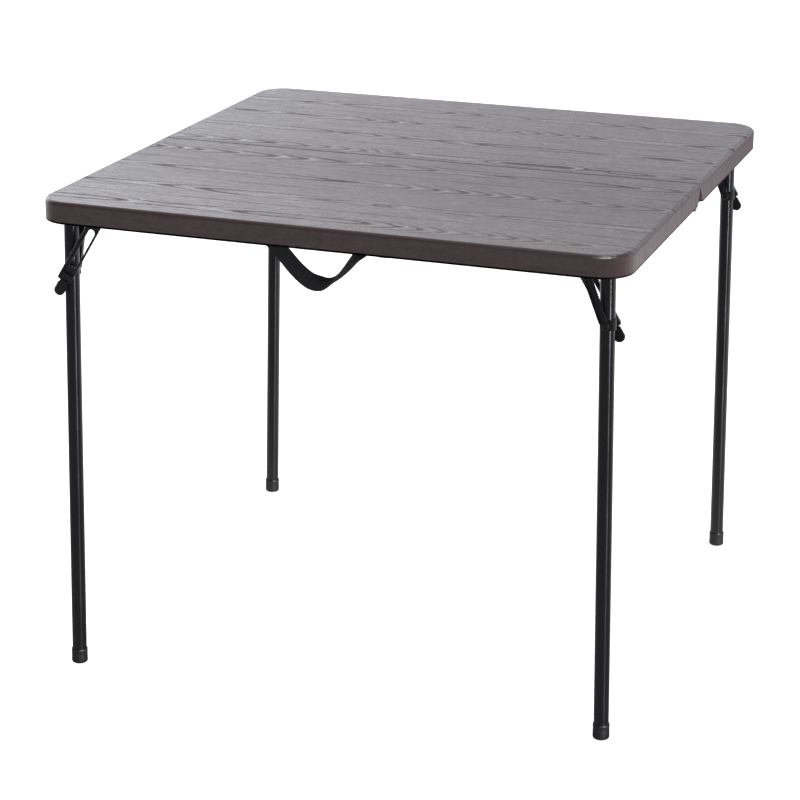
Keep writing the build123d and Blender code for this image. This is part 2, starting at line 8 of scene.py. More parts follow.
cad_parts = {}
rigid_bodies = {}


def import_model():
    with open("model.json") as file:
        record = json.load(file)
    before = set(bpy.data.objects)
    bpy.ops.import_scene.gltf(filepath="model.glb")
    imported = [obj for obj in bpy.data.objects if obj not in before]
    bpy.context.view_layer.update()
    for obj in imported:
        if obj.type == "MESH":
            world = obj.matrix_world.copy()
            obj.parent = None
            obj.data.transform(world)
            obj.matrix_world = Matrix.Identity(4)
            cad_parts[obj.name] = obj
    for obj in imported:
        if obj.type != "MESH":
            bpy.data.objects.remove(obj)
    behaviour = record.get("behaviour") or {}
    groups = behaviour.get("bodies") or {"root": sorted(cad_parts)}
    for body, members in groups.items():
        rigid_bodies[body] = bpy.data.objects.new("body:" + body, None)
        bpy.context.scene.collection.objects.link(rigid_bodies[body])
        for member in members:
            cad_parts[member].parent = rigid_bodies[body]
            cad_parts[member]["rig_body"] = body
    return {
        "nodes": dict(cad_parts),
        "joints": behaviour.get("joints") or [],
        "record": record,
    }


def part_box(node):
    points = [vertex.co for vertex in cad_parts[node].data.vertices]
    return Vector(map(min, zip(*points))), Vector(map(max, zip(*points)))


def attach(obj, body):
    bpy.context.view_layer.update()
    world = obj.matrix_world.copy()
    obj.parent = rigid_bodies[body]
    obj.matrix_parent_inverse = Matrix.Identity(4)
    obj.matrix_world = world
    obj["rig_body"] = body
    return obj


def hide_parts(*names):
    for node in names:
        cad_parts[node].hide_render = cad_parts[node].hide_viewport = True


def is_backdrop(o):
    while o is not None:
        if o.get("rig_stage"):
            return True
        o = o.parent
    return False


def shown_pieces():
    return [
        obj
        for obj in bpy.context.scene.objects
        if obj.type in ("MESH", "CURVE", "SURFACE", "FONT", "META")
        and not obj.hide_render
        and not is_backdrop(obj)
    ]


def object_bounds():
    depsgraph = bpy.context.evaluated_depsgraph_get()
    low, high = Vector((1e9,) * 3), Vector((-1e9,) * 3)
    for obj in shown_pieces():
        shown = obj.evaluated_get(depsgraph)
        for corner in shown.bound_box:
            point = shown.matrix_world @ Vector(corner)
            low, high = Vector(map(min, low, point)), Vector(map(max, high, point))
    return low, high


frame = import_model()
cad_box = [list(corner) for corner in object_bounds()]

# Table sizes in metres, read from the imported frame
HALF_X, HALF_Y, TOP_Z = cad_box[1]
RIM_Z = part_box("front_panel")[0][2]
PIVOTS = {joint["name"]: Vector(joint["pos_m"]) for joint in frame["joints"]}
LEGS = ("front_left", "back_left", "front_right", "back_right")

# Leg and foot cap
LEG_RADIUS = 0.011
FOOT_SPLAY = 0.013
CAP_RADIUS = 0.0124
CAP_HEIGHT = 0.023
CAP_FLOOR = 0.004
CAP_FOOT_ROUND = 0.0032
CAP_FOOT_ANGLES = (0, 22, 45, 68, 90)
CAP_DRAW_IN = 0.0002
CAP_WAIST_SHARE = 0.55
CAP_BEAD_START = 0.0034
CAP_BEAD_FULL = 0.0028
CAP_BEAD_END = 0.0010
CAP_RIM_ROUND = 0.0006
CAP_PLAY = 0.0001

# Rivets and pins
TURNED_SIDES = 40
AXIS_RADIUS = 0.0002
RIVET_HEAD = 0.005
ARM_RIVET_HEAD = 0.004
CROWN_HEIGHT = 0.0006
CROWN_ANGLES = (4, 20, 40, 60, 78, 90)
DISH_HEIGHT = 0.0014
DISH_SHARE = 0.55
LOCK_SHANK = 0.0024
ARM_SHANK = 0.00195
SHANK_CHAMFER = 0.0003

# Lock plate, measured down from its pivot, and off its face from the leg's middle
SLOT_WIDTH = 0.011
SLOT_START = 0.024
SLOT_TO_PIN = 0.009
OUTER_BAR = 0.0065
INNER_BAR = 0.0035
PLATE_TAIL = 0.0115
PLATE_INSIDE = 0.01345
PLATE_OUTSIDE = 0.01545
PLATE_EDGE = 0.0004
PIN_PLAY = 0.0001
TAIL_ROUND = 0.0075
TAIL_CORNER = 0.002
HOLE_LAST_ANGLE = 342
HOLE_STEPS = 18
LIP_SHEET = 0.0015
LIP_HEIGHT = 0.004
LIP_ROUND = 0.0004
LIP_CUT_SHARE = 0.9
LIP_TAIL_SHARE = 0.25
WELD_DISTANCE = 1e-6
SHARP_ANGLE = math.radians(35)

# Thumb grip and the tongue above it that holds the lever, measured from the lever's pin
GRIP_START = 0.013
GRIP_END = 0.034
GRIP_HALF_WIDTH = 0.008
GRIP_HALF_THICKNESS = 0.0035
GRIP_EDGE = 0.0022
GRIP_TIP = 0.0004
GRIP_CORNER_POWER = 0.35
RIDGE_STEP = 0.0034
RIDGE_DEPTH = 0.0003
GRIP_ROWS = 64
GRIP_SIDES = 40
TONGUE_START = 0.0072
TONGUE_NOSE = 0.002
TONGUE_NOSE_SHARES = ((0.0, 0.6), (0.3, 0.85), (1.0, 1.0))
TONGUE_MIDDLE = 0.0021
TONGUE_HALF_THICKNESS = 0.0013
TONGUE_HALF_WIDTH = 0.0064

# Carry strap: its hanging line and the turn of its face in degrees, from its left end to its right
RIM_WALL = 0.010
STRAP_SEAT = 0.0011
STRAP_WIDTH = 0.024
STRAP_THICKNESS = 0.0014
STRAP_Y = -HALF_Y + RIM_WALL + STRAP_SEAT
STRAP_LEFT = -0.066
STRAP_RIGHT = 0.062
STRAP_SAG = 0.052
STRAP_BOW = 0.006
STRAP_HIDDEN = 0.014
STRAP_TAIL = 0.021
TAIL_DROP = 0.002
STRAP_STEPS = 8
STRAP_COLUMNS = 6
ALONG_SHARES = (0.0, 0.10, 0.24, 0.38, 0.51, 0.60, 0.68, 0.76, 0.86, 0.94, 1.0)
DROP_SHARES = (0.0, 0.27, 0.66, 0.93, 1.0, 0.95, 0.82, 0.64, 0.36, 0.12, 0.0)
FACE_TURNS = (0, 3, 8, 18, 42, 66, 76, 68, 57, 52, 52)

# Embossed figure: the middle of each row in millimetres along Y and, at places in millimetres along X,
# how many growth rings deep the wood is cut there. Each whole number draws one ring's line
MILLIMETRES = 1000
MOST_RINGS = 14.0
FIGURE_ROWS = {
    340: (
        (-440, 2.6), (-330, 2.2), (-262, 1.3), (-240, 0.9), (-160, 0.6), (-80, 0.9), (-50, 1.4),
        (10, 2.4), (60, 2.6), (100, 3.6), (160, 3.4), (250, 4.6), (320, 5.6), (440, 5.2),
    ),
    240: (
        (-440, 1.6), (-390, 1.1), (-310, 2.1), (-200, 2.6), (-170, 3.2), (-60, 5.6), (30, 6.6),
        (75, 7.9), (112, 8.9), (148, 9.9), (180, 11.0), (210, 12.0), (290, 12.6), (380, 12.2), (440, 11.1),
    ),
    134: (
        (-440, 0.7), (-330, 0.6), (-245, 0.8), (-206, 1.0), (-190, 1.3), (-166, 1.0), (-140, 0.8),
        (-118, 1.1), (-40, 2.3), (20, 1.7), (50, 1.2), (110, 0.9), (200, 0.9), (290, 1.4), (350, 1.1),
        (440, 2.4),
    ),
    24: (
        (-440, 3.2), (-390, 4.1), (-330, 5.1), (-270, 6.1), (-210, 7.0), (-160, 8.4), (-120, 9.6),
        (-90, 10.6), (-60, 11.8), (10, 12.6), (90, 12.4), (130, 11.2), (220, 11.1), (270, 12.3),
        (310, 11.9), (440, 13.4),
    ),
    -60: (
        (-440, 0.6), (-400, 1.6), (-355, 3.0), (-300, 4.1), (-220, 5.2), (-165, 6.3), (-90, 7.4),
        (-15, 8.3), (30, 8.9), (60, 9.4), (160, 9.2), (180, 8.9), (260, 8.8), (340, 9.1), (440, 10.4),
    ),
    -176: (
        (-440, 1.7), (-400, 1.4), (-345, 1.05), (-310, 0.7), (-250, 0.6), (-140, 0.8), (-60, 1.2),
        (20, 1.6), (65, 2.6), (110, 3.6), (160, 4.9), (195, 6.0), (235, 7.1), (275, 8.2), (310, 9.1),
        (440, 11.6),
    ),
    -291: (
        (-440, 5.2), (-300, 4.2), (-240, 3.2), (-160, 2.6), (-60, 2.2), (20, 1.5), (45, 1.0),
        (62, 1.3), (150, 1.9), (210, 1.2), (250, 0.9), (330, 0.7), (440, 0.6),
    ),
    -394: (
        (-440, 0.8), (-380, 0.9), (-330, 1.05), (-270, 1.9), (-180, 1.6), (-130, 1.1), (-70, 0.8),
        (10, 0.8), (50, 1.1), (100, 2.1), (150, 3.4), (190, 4.6), (230, 5.8), (270, 7.0), (310, 8.2),
        (370, 9.2), (440, 9.8),
    ),
}
FIGURE_REACH = (0.005, 0.026)
RING_WIDTH = 0.0105
RING_TIP_SHARE = 0.85
CUT_SHARES = (0.0, 0.14, 0.46)
RIDGE_SHARES = (0.38, 0.54, 0.58, 0.84)
WARP_ALONG = 0.020
WARP_ACROSS = 0.012
RIPPLE_ALONG = 0.011
RIPPLE_ACROSS = 0.004

# Embossed boards: the places of their joints along Y, and a broad band that is darker
BOARD_JOINTS = (0.290, 0.187, 0.079, -0.118, -0.233, -0.342)
JOINT_WIDTH = 0.0016
JOINT_CORE_SHARE = 0.4
DARK_BAND_Y = -0.12
DARK_BAND_REACH = (0.06, 0.24)

# Zones of the moulded top: depths below its upper face, heights above its lower edge, and
# distances in from the table's ends, each from where a change begins to where it is done
TOP_FADE = (0.005, 0.0015)
FLAT_FADE = (0.0012, 0.0002)
EDGE_FADE_IN = (0.0055, 0.0040)
EDGE_FADE_OUT = (0.0018, 0.0008)
LIP_SHADE_FADE = (0.0030, 0.0037)
END_FADE = (0.030, 0.010)

# Heights of the surfaces' relief, the radius of worn edges, and the webbing's weave
FIGURE_RELIEF = 0.0016
FIBRE_RELIEF = 0.0021
PAINT_RELIEF = 0.00001
ZINC_RELIEF = 0.00006
PLASTIC_RELIEF = 0.00015
WEAVE_RELIEF = 0.0004
WORN_RADIUS = 0.0012
RIB_PITCH = 0.0024
PICK_PITCH = 0.0016

# Colours, linear
WHITE = (1, 1, 1, 1)
GRAIN_DARK = (0.022, 0.014, 0.013, 1)
GRAIN_LIGHT = (0.080, 0.053, 0.052, 1)
BROAD_PATCH = (0.060, 0.041, 0.041, 1)
# Painted highlight on the raised edges beside the figure's cuts
RAISED_EDGE_HIGHLIGHT = (0.150, 0.135, 0.140, 1)
# Painted shade in the figure's cuts, and the own dark colour of the board joints
CUT_SHADE_AND_JOINT_LINE = (0.060, 0.024, 0.017, 1)
UPPER_EDGE = (0.028, 0.011, 0.010, 1)
# A black band of painted shade along the wall's lower edge, standing for the shadowed underside of the lip
LIP_PAINTED_SHADE = (0.004, 0.004, 0.005, 1)
# Painted light: the end walls are coloured lighter and pinker than the front and back walls
END_WALL_PAINTED_LIGHT = (0.135, 0.075, 0.085, 1)
WALL_SEAM = (0.010, 0.006, 0.006, 1)
LEG_PAINT = (0.0062, 0.0060, 0.0074, 1)
SADDLE_PAINT = (0.0050, 0.0050, 0.0055, 1)
LOCK_PAINT = (0.0065, 0.0065, 0.0080, 1)
BARE_STEEL = (0.42, 0.42, 0.44, 1)
ZINC_DULL = (0.50, 0.51, 0.53, 1)
ZINC_BRIGHT = (0.72, 0.72, 0.72, 1)
PLASTIC_DARK = (0.0060, 0.0060, 0.0068, 1)
PLASTIC_DUSTY = (0.0125, 0.0125, 0.0140, 1)
YARN_DARK = (0.0070, 0.0066, 0.0074, 1)
YARN_LIGHT = (0.0290, 0.0270, 0.0300, 1)
FLOOR_DARK = (0.86, 0.86, 0.86, 1)
FLOOR_LIGHT = (0.89, 0.89, 0.89, 1)
FLOOR_MIRRORED = (1.0, 0.95, 0.97, 1)
WALL_TINT = (0.90, 0.95, 1.03, 1)

# Floor: half its side, and where along Y its mirrored glow brightens and fades again
FLOOR_REACH = 14.0
GLOW_RISE = (-0.5, 1.3)
GLOW_FALL = (1.8, 3.6)

# Area lights, in metres and watts. One that names pieces shines on those alone
LIGHTS = (
    {
        "name": "overhead",
        "place": (0.0, -0.3, 3.2),
        "target": (0.0, 0.0, TOP_Z),
        "size": (3.5, 3.5),
        "power": 110,
        "colour": (1.0, 0.98, 0.95),
        "seen_by": "matt",
        "pieces": (),
    },
    {
        "name": "right_strip",
        "place": (6.10, -4.27, 2.40),
        "target": (0.0, 0.0, 2.40),
        "size": (0.45, 4.6),
        "power": 1500,
        "colour": (0.88, 0.89, 1.0),
        "seen_by": "gloss",
        "pieces": ("leg_tube", "foot_cap", "lock_plate"),
    },
    {
        "name": "corner_softbox",
        "place": (1.80, -2.30, 2.80),
        "target": (0.4, -0.4, 0.7),
        "size": (1.5, 0.30),
        "power": 160,
        "colour": (0.95, 0.97, 1.0),
        "seen_by": "gloss",
        "pieces": ("front_panel", "back_panel"),
    },
)

# Camera of the photograph: focal length and principal point in pixels of its 800 pixel frame
IMAGE_SIDE = 800
FOCAL_PIXELS = 2339.8
CENTRE_X_PIXEL = 357.9
CENTRE_Y_PIXEL = 323.9
CAMERA_PLACE = (1.1542, -3.3455, 1.5757)
CAMERA_YAW = math.radians(20.61)
CAMERA_PITCH = math.radians(17.312)
CAMERA_ROLL = math.radians(0.078)
SENSOR_WIDTH = 36.0
SIGHT_REACH = 60


class Graph:
    """The node tree of a material or a world, with short calls that return sockets."""

    def __init__(self, owner, coordinates="Object"):
        owner.use_nodes = True
        self.owner = owner
        self.tree = owner.node_tree
        self.shader = self.tree.nodes.get("Principled BSDF")
        self.place = self.add("TexCoord", coordinates)

    def feed(self, socket, value):
        """Links a socket into another, or sets a plain value. None leaves the socket as it is."""
        if isinstance(value, bpy.types.NodeSocket):
            self.tree.links.new(value, socket)
        elif value is not None:
            socket.default_value = value

    def shade(self, **values):
        """Sets the shader's inputs, by name with underscores for spaces."""
        for name, value in values.items():
            self.feed(self.shader.inputs[name.replace("_", " ")], value)

    def add(self, kind, output=0, **values):
        """A node of any kind, its inputs set by name with underscores for spaces."""
        node = self.tree.nodes.new("ShaderNode" + kind)
        for name, value in values.items():
            self.feed(node.inputs[name.replace("_", " ")], value)
        return node.outputs[output]

    def math(self, operation, a, b=None):
        """One step of arithmetic on one or two values."""
        node = self.tree.nodes.new("ShaderNodeMath")
        node.operation = operation
        for socket, value in zip(node.inputs, (a, b)):
            self.feed(socket, value)
        return node.outputs[0]

    def chain(self, operation, values):
        """The same step of arithmetic all along a list of values."""
        result = values[0]
        for value in values[1:]:
            result = self.math(operation, result, value)
        return result

    def plus(self, *values):
        """The sum of the values."""
        return self.chain("ADD", values)

    def minus(self, a, b):
        """The difference of two values."""
        return self.math("SUBTRACT", a, b)

    def times(self, *values):
        """The product of the values."""
        return self.chain("MULTIPLY", values)

    def highest(self, *values):
        """The highest of the values."""
        return self.chain("MAXIMUM", values)

    def between(self, share, a, b):
        """A value from a to b by a share, as numbers."""
        return self.plus(a, self.times(share, self.minus(b, a)))

    def split(self, vector=None):
        """A vector's three values, those of the place where none is named."""
        return self.add("SeparateXYZ", slice(0, 3), Vector=vector or self.place)

    def noise(self, scale, detail=3.0, roughness=0.5, vector=None):
        """Noise of one scale at the place, or at another vector."""
        vector = vector or self.place
        return self.add("TexNoise", "Fac", Vector=vector, Scale=scale, Detail=detail, Roughness=roughness)

    def stretched(self, scales, shift=(0, 0, 0), detail=2.0, roughness=0.5):
        """Noise with a scale of its own along each axis."""
        vector = self.add("Mapping", Vector=self.place, Scale=scales, Location=shift)
        return self.noise(1.0, detail, roughness, vector)

    def spread(self, value, low, high, to_low=0.0, to_high=1.0, smooth=False):
        """A value carried from one range into another, and held at its ends."""
        node = self.tree.nodes.new("ShaderNodeMapRange")
        node.interpolation_type = "SMOOTHSTEP" if smooth else "LINEAR"
        names = ("Value", "From Min", "From Max", "To Min", "To Max")
        for name, number in zip(names, (value, low, high, to_low, to_high)):
            self.feed(node.inputs[name], number)
        return node.outputs[0]

    def under_top(self, depths, to_low=0.0, to_high=1.0):
        """From one value to another between two depths below the table's upper face."""
        return self.spread(self.split()[2], TOP_Z - depths[0], TOP_Z - depths[1], to_low, to_high)

    def blend(self, share, a, b):
        """A colour from a to b by a share."""
        node = self.tree.nodes.new("ShaderNodeMix")
        node.data_type = "RGBA"
        for name, value in zip(("Factor", "A", "B"), (share, a, b)):
            self.feed(node.inputs[name], value)
        return node.outputs["Result"]

    def bump(self, height, distance, strength=1.0, under=None):
        """A normal tilted by a height, on top of another where one is named."""
        return self.add("Bump", Strength=strength, Distance=distance, Height=height, Normal=under)

    def curve(self, value, points):
        """A smooth curve through points, looked up by a value from 0 to 1."""
        node = self.tree.nodes.new("ShaderNodeFloatCurve")
        curve = node.mapping.curves[0]
        while len(curve.points) < len(points):
            curve.points.new(0.5, 0.5)
        for point, place in zip(curve.points, points):
            point.location = place
            point.handle_type = "AUTO_CLAMPED"
        node.mapping.update()
        self.feed(node.inputs["Value"], value)
        return node.outputs[0]

    def worn_edges(self):
        """1 on an outer edge, 0 on flat faces."""
        node = self.tree.nodes.new("ShaderNodeVectorMath")
        node.operation = "DOT_PRODUCT"
        rounded = self.add("Bevel", Radius=WORN_RADIUS)
        for socket, value in zip(node.inputs, (rounded, self.add("NewGeometry", "Normal"))):
            self.feed(socket, value)
        return self.spread(node.outputs["Value"], 0.98, 0.80)


def wood_figure(graph):
    """Cut lines of the embossed figure and the raised edges beside them, each 0 to 1."""
    x, y = graph.split()[:2]
    warp = graph.minus(graph.stretched((5.0, 14.0, 1.0)), 0.5)
    ripple = graph.minus(graph.stretched((38.0, 75.0, 1.0), (1.7, 0.4, 0.0), detail=3.0), 0.5)
    along = graph.plus(x, graph.times(warp, WARP_ALONG), graph.times(ripple, RIPPLE_ALONG))
    wobble = graph.plus(graph.times(warp, WARP_ACROSS), graph.times(ripple, RIPPLE_ACROSS))
    share = graph.spread(along, -HALF_X, HALF_X)
    cut_start, cut_bottom, cut_end = CUT_SHARES
    ridge_start, ridge_full, ridge_fade, ridge_end = RIDGE_SHARES
    cuts = []
    ridges = []
    for row, points in FIGURE_ROWS.items():
        shares = [((x_mm / MILLIMETRES / HALF_X + 1) / 2, rings / MOST_RINGS) for x_mm, rings in points]
        depth = graph.times(graph.curve(share, shares), MOST_RINGS)
        across = graph.plus(graph.minus(y, row / MILLIMETRES), wobble)
        sideways = graph.math("DIVIDE", across, RING_WIDTH)
        pointed = graph.math("SQRT", graph.plus(graph.math("POWER", sideways, 2.0), RING_TIP_SHARE ** 2))
        saw = graph.math("FRACT", graph.plus(depth, graph.minus(pointed, RING_TIP_SHARE)))
        drop = graph.spread(saw, cut_start, cut_bottom, 1.0, 0.0, smooth=True)
        rise = graph.spread(saw, cut_bottom, cut_end)
        cut = graph.minus(1.0, graph.highest(drop, rise))
        ridge_in = graph.spread(saw, ridge_start, ridge_full)
        ridge_out = graph.spread(saw, ridge_fade, ridge_end, 1.0, 0.0)
        near = graph.spread(graph.math("ABSOLUTE", across), *FIGURE_REACH, 1.0, 0.0, smooth=True)
        cuts.append(graph.times(cut, near))
        ridges.append(graph.times(ridge_in, ridge_out, near))
    return graph.highest(*cuts), graph.highest(*ridges)


def board_joints(graph):
    """Faint dark lines where the embossed boards meet, 1 on a line, broken up along X."""
    y = graph.split()[1]
    lines = []
    for joint in BOARD_JOINTS:
        off = graph.math("ABSOLUTE", graph.minus(y, joint))
        lines.append(graph.spread(off, JOINT_WIDTH * JOINT_CORE_SHARE, JOINT_WIDTH, 1.0, 0.0))
    broken = graph.spread(graph.stretched((4.0, 9.0, 1.0), (2.0, 6.0, 0.0)), 0.42, 0.62)
    return graph.times(graph.highest(*lines), broken)


def make_top_material():
    """Brown polyethylene: embossed wood figure on the top, drawn lines along the rim, with painted highlight
    and shade on the figure, painted light on the end walls and painted shade along the lower lip.
    """
    graph = Graph(bpy.data.materials.new("moulded_top_look"))
    x, y, z = graph.split()

    # Zones: the flat top, the walls at the table's ends, the upper edge, and the band of painted shade along
    # the lower lip
    upward = graph.under_top(TOP_FADE)
    near_end = graph.spread(graph.math("ABSOLUTE", x), HALF_X - END_FADE[0], HALF_X - END_FADE[1])
    wall_end = graph.times(near_end, graph.minus(1.0, upward))
    edge = graph.times(graph.under_top(EDGE_FADE_IN), graph.under_top(EDGE_FADE_OUT, 1.0, 0.0))
    above_lip_shade = graph.spread(z, RIM_Z + LIP_SHADE_FADE[0], RIM_Z + LIP_SHADE_FADE[1])

    # The figure, broken up along its lines
    cut, ridge = wood_figure(graph)
    joints = board_joints(graph)
    fade = graph.spread(graph.stretched((7.0, 12.0, 1.0), (3.1, 7.7, 0.0), detail=1.0), 0.35, 0.6, 0.50, 1.0)
    flake = graph.stretched((60.0, 210.0, 1.0), (5.0, 2.0, 0.0), detail=3.0, roughness=0.7)
    gleam = graph.spread(graph.stretched((45.0, 160.0, 1.0), (8.0, 3.0, 0.0)), 0.40, 0.66, 0.10, 0.85)
    cut = graph.times(cut, upward, fade, graph.spread(flake, 0.38, 0.60, 0.35, 1.30))
    cut = graph.highest(cut, graph.times(joints, 0.55))
    ridge = graph.times(ridge, upward, fade, gleam)
    relief = graph.minus(graph.times(ridge, 0.6), cut)

    # The fine fibre, which runs down the walls at the ends
    streak = graph.stretched((9.0, 260.0, 200.0), detail=4.0, roughness=0.6)
    fibre = graph.stretched((42.0, 230.0, 60.0), (0.3, 0.9, 0.0), detail=5.0, roughness=0.80)
    lines_down = graph.stretched((60.0, 330.0, 10.0), detail=4.0, roughness=0.65)
    pores = graph.stretched((120.0, 1100.0, 300.0))
    tone = graph.plus(graph.times(streak, 0.45), graph.times(fibre, 0.55))
    tone = graph.between(wall_end, tone, lines_down)
    tone = graph.plus(tone, graph.times(graph.minus(pores, 0.5), 0.45))
    from_band = graph.math("ABSOLUTE", graph.minus(y, DARK_BAND_Y))
    dark_band = graph.spread(from_band, *DARK_BAND_REACH, 0.06, 0.0, smooth=True)
    # The grain's tone, with the figure's relief added as painted highlight on ridges and painted shade in
    # cuts
    shade = graph.minus(graph.plus(tone, graph.times(relief, 0.56)), dark_band)

    # Colour, from the grain to the zones over it, with painted highlight, painted shade and painted light
    # among them
    broad = graph.spread(graph.stretched((2.0, 9.0, 2.0)), 0.35, 0.7, 0.0, 0.35)
    brown = graph.blend(graph.spread(shade, 0.15, 0.70), GRAIN_DARK, GRAIN_LIGHT)
    brown = graph.blend(broad, brown, BROAD_PATCH)
    # Painted highlight on the raised edges of the figure
    brown = graph.blend(graph.times(ridge, 0.35), brown, RAISED_EDGE_HIGHLIGHT)
    # Painted shade in the cuts of the figure, and the board joints' own dark colour
    brown = graph.blend(graph.times(cut, 0.6), brown, CUT_SHADE_AND_JOINT_LINE)
    # Painted shade: the wall's lower edge is coloured black
    brown = graph.blend(above_lip_shade, LIP_PAINTED_SHADE, brown)
    brown = graph.blend(graph.times(edge, 0.8), brown, UPPER_EDGE)
    # Painted light: the end walls coloured lighter and pinker
    brown = graph.blend(graph.times(wall_end, 0.5), brown, END_WALL_PAINTED_LIGHT)
    brown = graph.blend(graph.times(joints, wall_end), brown, WALL_SEAM)

    # Gloss and relief. The band of painted shade at the lip reflects as dark metal, so that it stays black
    # at every angle
    top_gloss = graph.spread(shade, 0.1, 0.56, 0.66, 0.27)
    wall_gloss = graph.spread(tone, 0.30, 0.70, 0.46, 0.28)
    fibre_height = graph.times(tone, graph.under_top(FLAT_FADE, 0.25, 1.0))
    graph.shade(
        Base_Color=brown,
        Roughness=graph.between(above_lip_shade, 0.6, graph.between(upward, wall_gloss, top_gloss)),
        Metallic=graph.minus(1.0, above_lip_shade),
        Normal=graph.bump(relief, FIGURE_RELIEF, 1.0, graph.bump(fibre_height, FIBRE_RELIEF, 0.9)),
    )
    return graph.owner


def make_paint(name, colour, roughness, worn):
    """Satin powder coat, faintly pitted, its edges rubbed through to steel by a worn share."""
    graph = Graph(bpy.data.materials.new(name))
    patches = graph.noise(14.0)
    rub = graph.times(graph.worn_edges(), worn, graph.spread(graph.noise(160.0), 0.4, 0.62))
    lighter = tuple(1.5 * part for part in colour[:3]) + (1,)
    graph.shade(
        Base_Color=graph.blend(rub, graph.blend(patches, colour, lighter), BARE_STEEL),
        Roughness=graph.spread(patches, 0.3, 0.7, roughness - 0.03, roughness + 0.03),
        Metallic=rub,
        Normal=graph.bump(graph.noise(900.0, detail=2.0), PAINT_RELIEF, 0.4),
    )
    return graph.owner


def make_leg_paint():
    """Powder coat that spreads its gloss along the leg and keeps it narrow round the tube."""
    material = make_paint("leg_paint_look", LEG_PAINT, 0.21, 0.0)
    shader = material.node_tree.nodes["Principled BSDF"]
    shader.inputs["Anisotropic"].default_value = 0.80
    shader.inputs["Anisotropic Rotation"].default_value = 0.25
    return material


def make_zinc():
    """Zinc plate with fine rolling marks and a cloudy bloom."""
    graph = Graph(bpy.data.materials.new("zinc_look"))
    marks = graph.stretched((300.0, 300.0, 40.0), detail=3.0)
    graph.shade(
        Base_Color=graph.blend(graph.noise(60.0, detail=2.0), ZINC_DULL, ZINC_BRIGHT),
        Metallic=1.0,
        Roughness=graph.spread(marks, 0.3, 0.7, 0.24, 0.42),
        Normal=graph.bump(marks, ZINC_RELIEF, 0.4),
    )
    return graph.owner


def make_black_plastic():
    """Moulded black plastic with a fine grain and a little dust."""
    graph = Graph(bpy.data.materials.new("black_plastic_look"))
    dust = graph.noise(90.0)
    graph.shade(
        Base_Color=graph.blend(dust, PLASTIC_DARK, PLASTIC_DUSTY),
        Roughness=graph.spread(dust, 0.3, 0.7, 0.42, 0.58),
        Specular_IOR_Level=0.45,
        Normal=graph.bump(graph.noise(1400.0, detail=2.0), PLASTIC_RELIEF, 0.5),
    )
    return graph.owner


def make_webbing():
    """Plain-woven strap: ribs across it and picks along it, in the strap's own flat measure."""
    graph = Graph(bpy.data.materials.new("webbing_look"))
    across, along = graph.split(graph.add("UVMap"))[:2]
    ribs = graph.math("SINE", graph.times(across, 2 * math.pi / RIB_PITCH))
    picks = graph.math("SINE", graph.times(along, 2 * math.pi / PICK_PITCH))
    fuzz = graph.noise(2500.0, detail=2.0)
    height = graph.plus(graph.times(ribs, picks, 0.35), graph.times(ribs, 0.3), fuzz)
    graph.shade(
        Base_Color=graph.blend(graph.spread(height, -0.4, 1.4), YARN_DARK, YARN_LIGHT),
        Roughness=0.80,
        Specular_IOR_Level=0.25,
        Sheen_Weight=0.06,
        Sheen_Roughness=0.4,
        Normal=graph.bump(height, WEAVE_RELIEF, 0.8),
    )
    return graph.owner


def dress_frame():
    """Makes the materials and gives each CAD node its own, by the record's slots."""
    looks = {
        "moulded_top": make_top_material(),
        "leg_paint": make_leg_paint(),
        "dark_steel": make_paint("saddle_paint_look", SADDLE_PAINT, 0.45, 0.2),
        "lock_paint": make_paint("lock_paint_look", LOCK_PAINT, 0.32, 0.6),
        "bright_steel": make_zinc(),
        "black_plastic": make_black_plastic(),
        "webbing": make_webbing(),
    }
    for part in frame["record"]["subparts"]:
        slot = part["material_slot"]
        if part["node"].endswith("lever_spring"):
            slot = "dark_steel"
        elif part["node"] == "fold_hinge_back_leaves":
            slot = "bright_steel"
        mesh = frame["nodes"][part["node"]].data
        mesh.materials.clear()
        mesh.materials.append(looks[slot])
    return looks


def stand_for(piece, node, looks, slot):
    """Puts a modelled piece in place of a CAD node, on the node's body."""
    piece.data.materials.append(looks[slot])
    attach(piece, frame["nodes"][node]["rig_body"])
    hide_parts(node)


def loft(name, rings, flat=None):
    """A closed skin over rings with as many points each. flat gives each point's flat measure."""
    count = len(rings[0])
    verts = [tuple(point) for ring in rings for point in ring]
    faces = []
    for base in range(0, len(verts) - count, count):
        for k in range(count):
            a = base + k
            b = base + (k + 1) % count
            faces.append((a, b, b + count, a + count))
    faces.append(tuple(range(count))[::-1])
    faces.append(tuple(range(len(verts) - count, len(verts))))
    mesh = bpy.data.meshes.new(name)
    mesh.from_pydata(verts, [], faces)
    if flat:
        layer = mesh.uv_layers.new(name="flat")
        for loop in mesh.loops:
            layer.data[loop.index].uv = flat[loop.vertex_index]
    work = bmesh.new()
    work.from_mesh(mesh)
    bmesh.ops.recalc_face_normals(work, faces=work.faces)
    work.to_mesh(mesh)
    work.free()
    mesh.set_sharp_from_angle(angle=SHARP_ANGLE)
    piece = bpy.data.objects.new(name, mesh)
    bpy.context.collection.objects.link(piece)
    return piece


def rings_about(start, ahead, profile):
    """Rings of a turned piece, from (radius, distance ahead) points."""
    side = ahead.orthogonal().normalized()
    other = ahead.cross(side)
    turns = [2 * math.pi * k / TURNED_SIDES for k in range(TURNED_SIDES)]
    rings = []
    for radius, along in profile:
        centre = start + ahead * along
        rings.append([centre + (side * math.cos(t) + other * math.sin(t)) * radius for t in turns])
    return rings


def domed_head(radius, height):
    """From the crown of a round head down to its seat."""
    angles = [math.radians(degrees) for degrees in CROWN_ANGLES]
    return [(radius * math.sin(angle), height * (1 - math.cos(angle))) for angle in angles]


